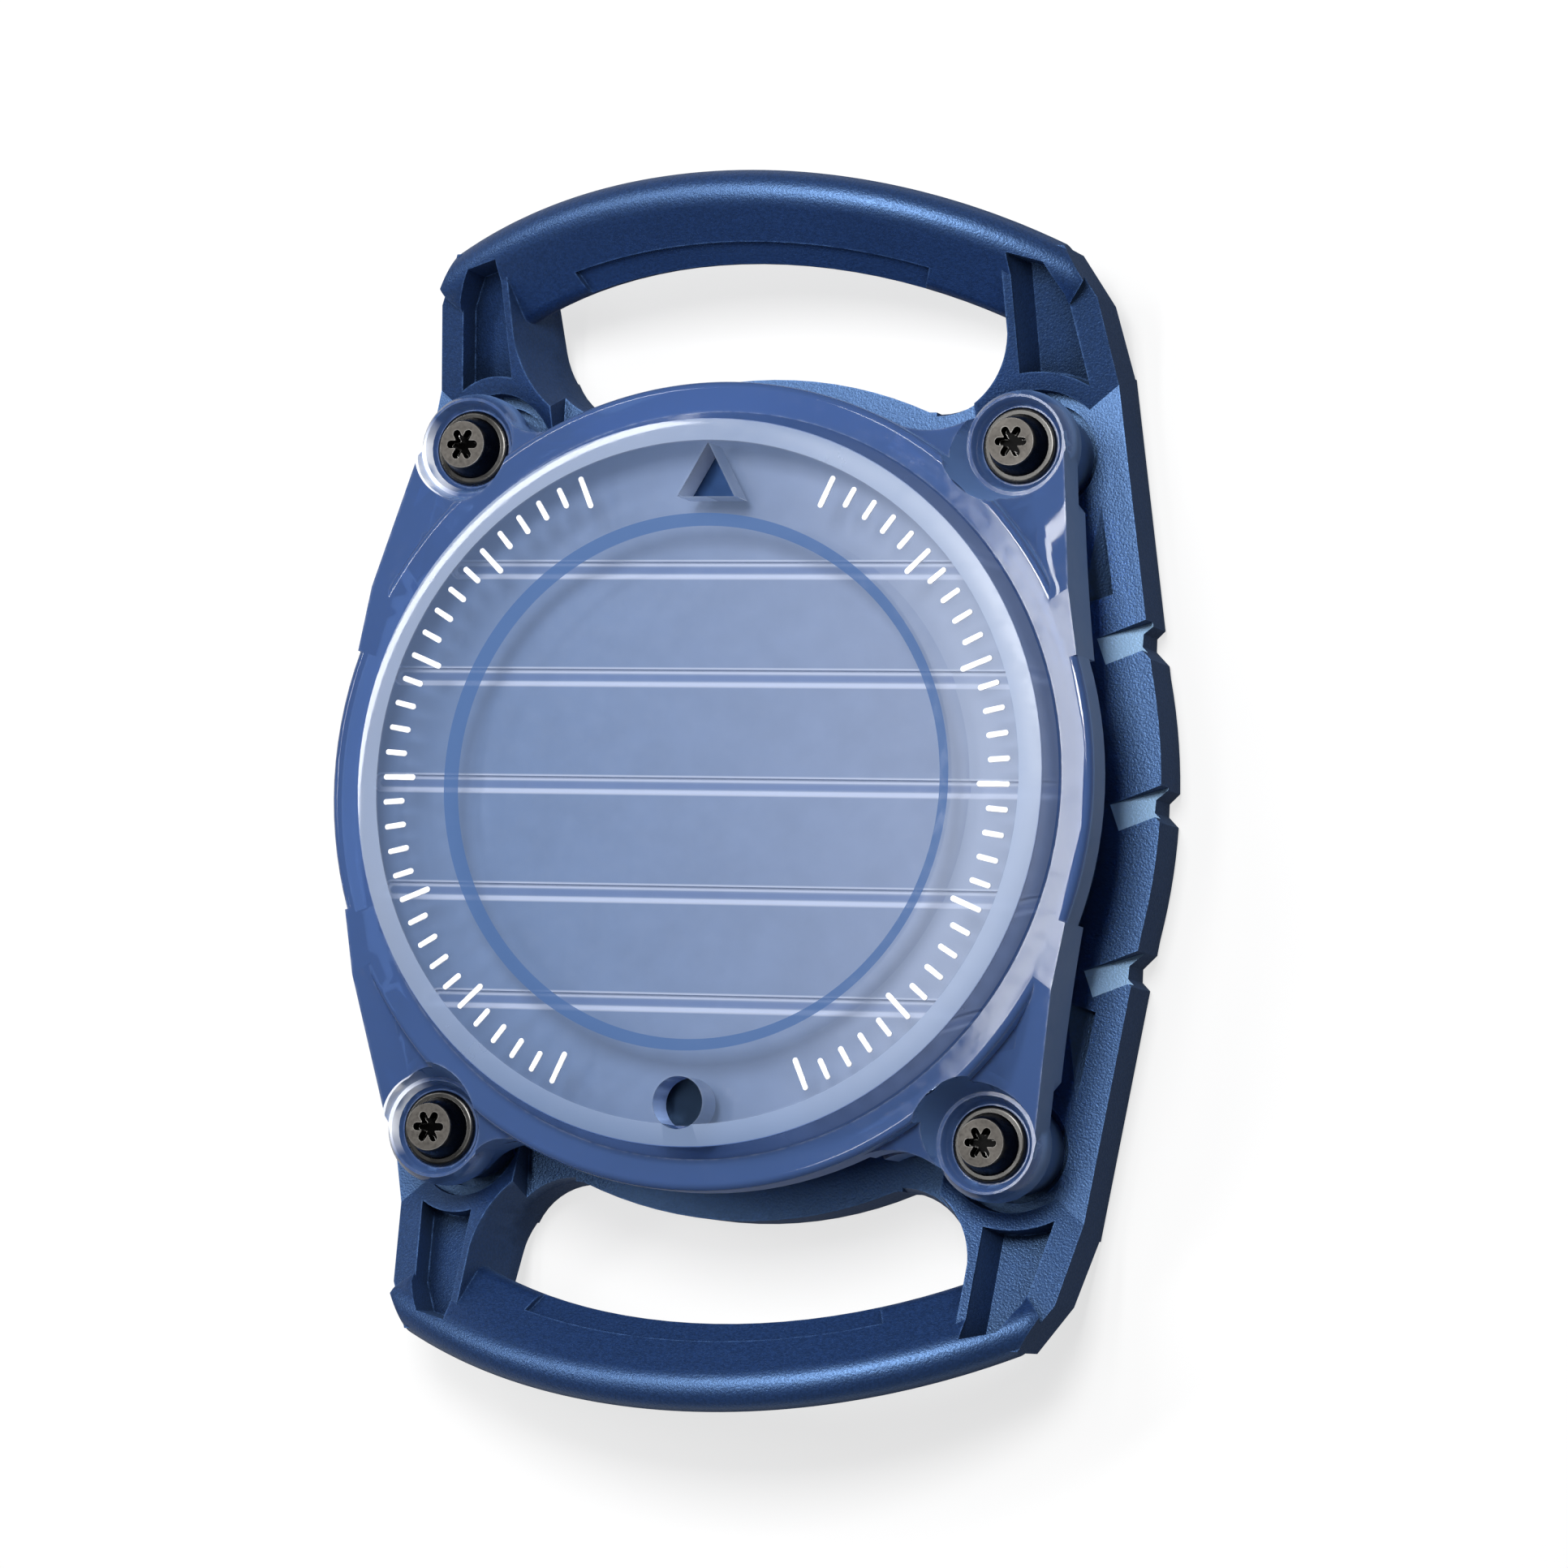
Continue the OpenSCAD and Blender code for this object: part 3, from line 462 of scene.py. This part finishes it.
def plain(name, colour, roughness, metallic, size, depth):
    """A finish with fine variation and wear, for the small parts."""
    m = Nodes(name)
    place = m.place()
    noise = m.noise(place, size, 3.0)
    tint = m.scaled(colour, m.span(noise, 0.3, 0.7, 0.8, 1.2))
    wear = m.times(m.worn(place, 0.12 * MM, 0.05, 0.4), 0.4)
    colour = m.mix(wear, tint, tuple(min(1.0, 1.8 * part + 0.02) for part in colour))
    return m.surface(
        Base_Color=colour, Roughness=m.span(noise, 0.3, 0.7, 0.8 * roughness, 1.2 * roughness),
        Metallic=metallic, Normal=m.bump(noise, depth, 0.5))


def dress(name, material):
    """Gives a node that stays as it is its finish."""
    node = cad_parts[name]
    for index in range(len(node.data.materials)):
        node.data.materials[index] = material
    if not node.data.materials:
        node.data.materials.append(material)


def piece(name, bm, body, material, replaces=()):
    """A finished mesh as an object that rides on a body."""
    mesh = bpy.data.meshes.new(name)
    bm.to_mesh(mesh)
    bm.free()
    mesh.materials.append(material)
    obj = bpy.data.objects.new(name, mesh)
    bpy.context.scene.collection.objects.link(obj)
    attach(obj, body)
    if replaces:
        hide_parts(*replaces)
    return obj


def rounded(bm, edges, width, segments):
    """Rounds the edges, by less than the width where a short edge leaves no room."""
    bmesh.ops.bevel(
        bm, geom=edges, offset=width, offset_type="OFFSET", segments=segments, profile=0.5, affect="EDGES",
        clamp_overlap=True, material=-1)


def bend(edge):
    """Angle between an edge's two faces, or none where it hasn't two."""
    return edge.calc_face_angle() if len(edge.link_faces) == 2 else 0.0


def moulded(node, width, segments=2, sharp=math.radians(24), rims=()):
    """A node's solid as a new mesh, with the round rims named rounded first, and then its sharp edges.

    The shortest sharp edge limits the width for all of them, so that no faces cross.
    """
    bm = bmesh.new()
    bm.from_mesh(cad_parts[node].data)
    bmesh.ops.remove_doubles(bm, verts=bm.verts, dist=WELD)
    bmesh.ops.dissolve_limit(
        bm, angle_limit=math.radians(0.6), use_dissolve_boundaries=False, verts=bm.verts, edges=bm.edges,
        delimit=set())
    for axis, level, radius, rim_round in rims:
        on_rim = {v for v in bm.verts
                  if abs(v.co.z - level) < 0.01 * MM and radius < (v.co - axis).xy.length < 1.1 * radius}
        rim = [edge for edge in bm.edges if bend(edge) > sharp and on_rim.issuperset(edge.verts)]
        rounded(bm, rim, rim_round, 5)
    rounded(bm, [edge for edge in bm.edges if bend(edge) > sharp], width, segments)
    for face in bm.faces:
        face.smooth = True
    for edge in bm.edges:
        edge.smooth = len(edge.link_faces) == 2 and bend(edge) < sharp
    return bm


def weighted(obj):
    """Keeps broad faces flat beside their rounded edges."""
    modifier = obj.modifiers.new("flat_faces", "WEIGHTED_NORMAL")
    modifier.keep_sharp = True
    modifier.weight = 60
    return obj


class HOLDER_OT_shell(bpy.types.Operator):
    """Mould the frame with rounded edges"""
    bl_idname = "holder.shell"
    bl_label = "Frame"

    def execute(self, context):
        look = context.scene.holder_finish
        bm = moulded("frame", look.edge_round)
        weighted(piece("frame_shell", bm, "holder", frame_plastic(), ["frame"]))
        return {"FINISHED"}


class HOLDER_OT_cover(bpy.types.Operator):
    """Mould the clear cover with rounded lips on its ears"""
    bl_idname = "holder.cover"
    bl_label = "Cover"

    def execute(self, context):
        look = context.scene.holder_finish
        lips = [(Vector((side * EAR[0], end * EAR[1], 0.0)), EAR_TOP, 2.98 * MM, 0.26 * MM)
                for side in (-1, 1) for end in (-1, 1)]
        bm = moulded("cover", 0.7 * look.edge_round, sharp=math.radians(36), rims=lips)
        seats = [v for v in bm.verts if abs(v.co.z - SEAM_Z) < 0.005 * MM and v.co.xy.length < 22.4 * MM]
        bmesh.ops.translate(bm, verts=seats, vec=(0.0, 0.0, 0.02 * MM))
        weighted(piece("cover_shell", bm, "lid", cover_plastic(), ["cover"]))
        return {"FINISHED"}


class HOLDER_OT_dial(bpy.types.Operator):
    """Print the plain dial marks round the disc"""
    bl_idname = "holder.dial"
    bl_label = "Dial marks"

    def execute(self, context):
        look = context.scene.holder_finish
        bm = bmesh.new()
        count = round(look.tick_reach / look.tick_angle)
        for turn in (0.0, math.pi):
            for index in range(-count, count + 1):
                start = look.tick_in if index % 5 == 0 else (2 * look.tick_in + look.tick_out) / 3
                self.tick(bm, start, look, turn + index * look.tick_angle)
        bmesh.ops.recalc_face_normals(bm, faces=bm.faces)
        ink = plain("dial_ink", look.print_colour, 0.4, 0.0, 0.5 * MM, 0.004 * MM)
        piece("dial_marks", bm, "lid", ink)
        return {"FINISHED"}

    def tick(self, bm, start, look, angle):
        """One round-ended mark, half sunk in the disc and half proud of it."""
        thickness = 0.1 * MM
        low = bmesh.ops.create_circle(bm, cap_ends=True, segments=16, radius=look.tick_width / 2)["verts"]
        far = [v for v in low if v.co.x > 0.01 * look.tick_width]
        bmesh.ops.translate(bm, verts=far, vec=(look.tick_out - start - look.tick_width, 0, 0))
        top = bmesh.ops.extrude_face_region(bm, geom=[low[0].link_faces[0]])["geom"]
        raised = [item for item in top if isinstance(item, bmesh.types.BMVert)]
        rim = [item for item in top if isinstance(item, bmesh.types.BMEdge)]
        bmesh.ops.translate(bm, verts=raised, vec=(0, 0, thickness))
        place = Matrix.Rotation(angle, 4, "Z") @ Matrix.Translation(
            (start + look.tick_width / 2, 0, DISC_TOP - thickness / 2))
        bmesh.ops.transform(bm, matrix=place, verts=low + raised)
        rounded(bm, rim, 0.03 * MM, 1)


class HOLDER_OT_screws(bpy.types.Operator):
    """Make the four screws with their threads"""
    bl_idname = "holder.screws"
    bl_label = "Screws"

    def execute(self, context):
        pitch = context.scene.holder_finish.thread_pitch
        metal = screw_metal()
        for corner in CORNERS:
            name = "screw_" + corner
            low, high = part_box(name)
            axis = Vector(((low[0] + high[0]) / 2, (low[1] + high[1]) / 2, 0.0))
            bm = moulded(name, 0.05 * MM, rims=[(axis, WASHER_TOP, 2.2 * MM, 0.26 * MM)])
            shank = [v for v in bm.verts if v.co.z < BORE_Z - 0.1 * MM]
            core = 0.8
            bmesh.ops.scale(bm, vec=(core, core, 1.0), verts=shank, space=Matrix.Translation(-axis))
            self.thread(bm, axis, low[2] + 0.25 * MM, BORE_Z - 0.4 * MM, pitch, core * SHANK_R)
            weighted(piece(name + "_metal", bm, name, metal, [name]))
        return {"FINISHED"}

    def thread(self, bm, axis, foot, top, pitch, core):
        """A ridge wound round the shank."""
        inner = core - 0.05 * MM
        outer = SHANK_R - 0.01 * MM
        profile = [(inner, 0.0), (outer, 0.42 * pitch), (outer, 0.52 * pitch), (inner, 0.94 * pitch)]
        verts = [bm.verts.new(axis + Vector((radius, 0.0, foot + rise))) for radius, rise in profile]
        face = bm.faces.new(verts)
        turns = int((top - foot - pitch) / pitch)
        steps = 20
        bmesh.ops.spin(
            bm, geom=[face], cent=axis, axis=(0, 0, 1), dvec=(0, 0, pitch / steps),
            angle=2 * math.pi * turns, steps=steps * turns, use_merge=False, use_duplicate=False)


class HOLDER_OT_fittings(bpy.types.Operator):
    """Make the inserts, the sealing ring and the foam pad"""
    bl_idname = "holder.fittings"
    bl_label = "Fittings"

    def execute(self, context):
        brass = plain("insert_metal", (0.62, 0.43, 0.17), 0.3, 1.0, 0.2 * MM, 0.02 * MM)
        for corner in CORNERS:
            name = "insert_" + corner
            bm = moulded(name, 0.08 * MM)
            weighted(piece(name + "_brass", bm, "holder", brass, [name]))
        dress("sealing_ring", plain("seal_soft", (0.02, 0.02, 0.022), 0.6, 0.0, 0.3 * MM, 0.01 * MM))
        foam = plain("pad_foam", (0.03, 0.05, 0.1), 0.85, 0.0, 0.25 * MM, 0.06 * MM)
        bm = moulded("cushion_pad", 0.35 * MM, 4)
        pad = piece("cushion_pad_foam", bm, "holder", foam, ["cushion_pad"])
        weighted(pad)
        return {"FINISHED"}


class HOLDER_OT_stage(bpy.types.Operator):
    """Set the floor, lamps, world and camera"""
    bl_idname = "holder.stage"
    bl_label = "Stage"

    def execute(self, context):
        scene = context.scene
        setup = scene.holder_stage
        self.floor(setup)
        self.lamps(scene)
        self.world(scene)
        self.camera(scene, setup)
        scene.view_settings.view_transform = "Standard"
        return {"FINISHED"}

    def floor(self, setup):
        """Pale paper: seen white with a soft shadow, dull for other rays, and clear from below."""
        bm = bmesh.new()
        low = Matrix.Translation((0, 0, -0.03 * MM))
        bmesh.ops.create_grid(bm, x_segments=1, y_segments=1, size=1.5, matrix=low)
        mesh = bpy.data.meshes.new("floor")
        bm.to_mesh(mesh)
        bm.free()
        floor = bpy.data.objects.new("floor", mesh)
        bpy.context.scene.collection.objects.link(floor)
        m = Nodes("floor_paper")
        ray = m.add("ShaderNodeLightPath").outputs
        seen = m.most(ray["Is Camera Ray"], ray["Is Transmission Ray"], m.times(ray["Is Glossy Ray"], 0.5))
        dull = m.add("ShaderNodeBsdfDiffuse", {"Color": (0.07, 0.07, 0.07, 1.0)}).outputs[0]
        lit = m.add("ShaderNodeBsdfDiffuse", {"Color": (*setup.floor_colour, 1.0)}).outputs[0]
        glow = m.add("ShaderNodeEmission", {"Color": (*setup.floor_colour, 1.0), "Strength": 1.0}).outputs[0]
        pale = m.add("ShaderNodeMixShader", {0: 0.75, 1: lit, 2: glow}).outputs[0]
        both = m.add("ShaderNodeMixShader", {0: seen, 1: dull, 2: pale}).outputs[0]
        from_below = m.times(m.add("ShaderNodeNewGeometry").outputs["Backfacing"], ray["Is Camera Ray"])
        clear = m.add("ShaderNodeBsdfTransparent").outputs[0]
        paper = m.add("ShaderNodeMixShader", {0: from_below, 1: both, 2: clear}).outputs[0]
        m.tree.links.new(paper, m.out.inputs["Surface"])
        mesh.materials.append(m.material)

    def lamps(self, scene):
        """A near key towards the upper loop, a narrow sheen lamp and a strip, both to the left."""
        def lamp(name, towards, along, distance, size, power):
            back = Vector(towards).normalized()
            rise = back.cross(Vector(along)).normalized()
            data = bpy.data.lights.new(name, "AREA")
            data.shape = "RECTANGLE"
            data.size, data.size_y = size
            data.energy = power
            obj = bpy.data.objects.new(name, data)
            turn = Matrix((rise.cross(back), rise, back)).transposed().to_4x4()
            obj.matrix_world = Matrix.Translation(distance * back) @ turn
            scene.collection.objects.link(obj)
        # Name, direction, direction of its length, distance in metres, size in metres, power in watts.
        lamp("key", (0.09, 0.28, 0.95), (1.0, 0.0, 0.0), 0.3, (0.09, 0.09), 0.82)
        lamp("sheen", (-0.203, 0.092, 0.975), (0.0, 1.0, 0.0), 0.246, (0.2, 0.02), 0.15)
        lamp("strip", (-0.6, 0.28, 0.74), (0.35, 0.37, 0.11), 0.8, (0.5, 0.09), 2.2)

    def world(self, scene):
        """A backdrop that the camera sees white and that lights the holder dimly."""
        world = bpy.data.worlds.new("studio")
        world.use_nodes = True
        scene.world = world
        tree = world.node_tree
        backdrop = tree.nodes["Background"]
        ray = tree.nodes.new("ShaderNodeLightPath")
        level = tree.nodes.new("ShaderNodeMapRange")
        level.inputs["To Min"].default_value = DIM_WORLD
        tree.links.new(ray.outputs["Is Camera Ray"], level.inputs["Value"])
        tree.links.new(level.outputs[0], backdrop.inputs["Strength"])
        backdrop.inputs["Color"].default_value = (0.95, 0.97, 1.0, 1.0)

    def camera(self, scene, setup):
        """A long lens, turned and shifted as in the photograph."""
        yaw, pitch = setup.yaw, setup.pitch
        back = Vector((math.sin(yaw) * math.cos(pitch), -math.sin(pitch), math.cos(yaw) * math.cos(pitch)))
        side = Vector((0.0, 1.0, 0.0)).cross(back).normalized()
        rise = back.cross(side)
        right = math.cos(setup.roll) * side + math.sin(setup.roll) * rise
        up = -math.sin(setup.roll) * side + math.cos(setup.roll) * rise
        data = bpy.data.cameras.new("camera")
        data.sensor_width = 36.0
        data.lens = setup.lens
        data.clip_start = 0.01
        data.shift_x, data.shift_y = setup.shift
        obj = bpy.data.objects.new("camera", data)
        turn = Matrix((right, up, back)).transposed().to_4x4()
        place = Vector((0.0, 0.0, setup.aim_height)) + setup.distance * back
        obj.matrix_world = Matrix.Translation(place) @ turn
        scene.collection.objects.link(obj)
        scene.camera = obj


class HOLDER_PT_panel(bpy.types.Panel):
    """Sizes, colours and pieces of the tag holder"""
    bl_idname = "HOLDER_PT_panel"
    bl_label = "Tag Holder"
    bl_space_type = "VIEW_3D"
    bl_region_type = "UI"
    bl_category = "Tag Holder"

    def draw(self, context):
        layout = self.layout
        for group in (context.scene.holder_finish, context.scene.holder_stage):
            for key in group.__annotations__:
                layout.prop(group, key)
        for operator in OPERATORS:
            layout.operator(operator.bl_idname)


GROUPS = (HolderFinish, StageSetup)
OPERATORS = (
    HOLDER_OT_stage, HOLDER_OT_shell, HOLDER_OT_cover, HOLDER_OT_dial, HOLDER_OT_screws, HOLDER_OT_fittings)


def register():
    for cls in (*GROUPS, *OPERATORS, HOLDER_PT_panel):
        bpy.utils.register_class(cls)
    bpy.types.Scene.holder_finish = bpy.props.PointerProperty(type=HolderFinish)
    bpy.types.Scene.holder_stage = bpy.props.PointerProperty(type=StageSetup)


def unregister():
    del bpy.types.Scene.holder_stage
    del bpy.types.Scene.holder_finish
    for cls in (HOLDER_PT_panel, *reversed(OPERATORS), *reversed(GROUPS)):
        bpy.utils.unregister_class(cls)


def main():
    register()
    bpy.ops.holder.stage()
    bpy.ops.holder.shell()
    bpy.ops.holder.cover()
    bpy.ops.holder.dial()
    bpy.ops.holder.screws()
    bpy.ops.holder.fittings()


if __name__ == "__main__":
    main()
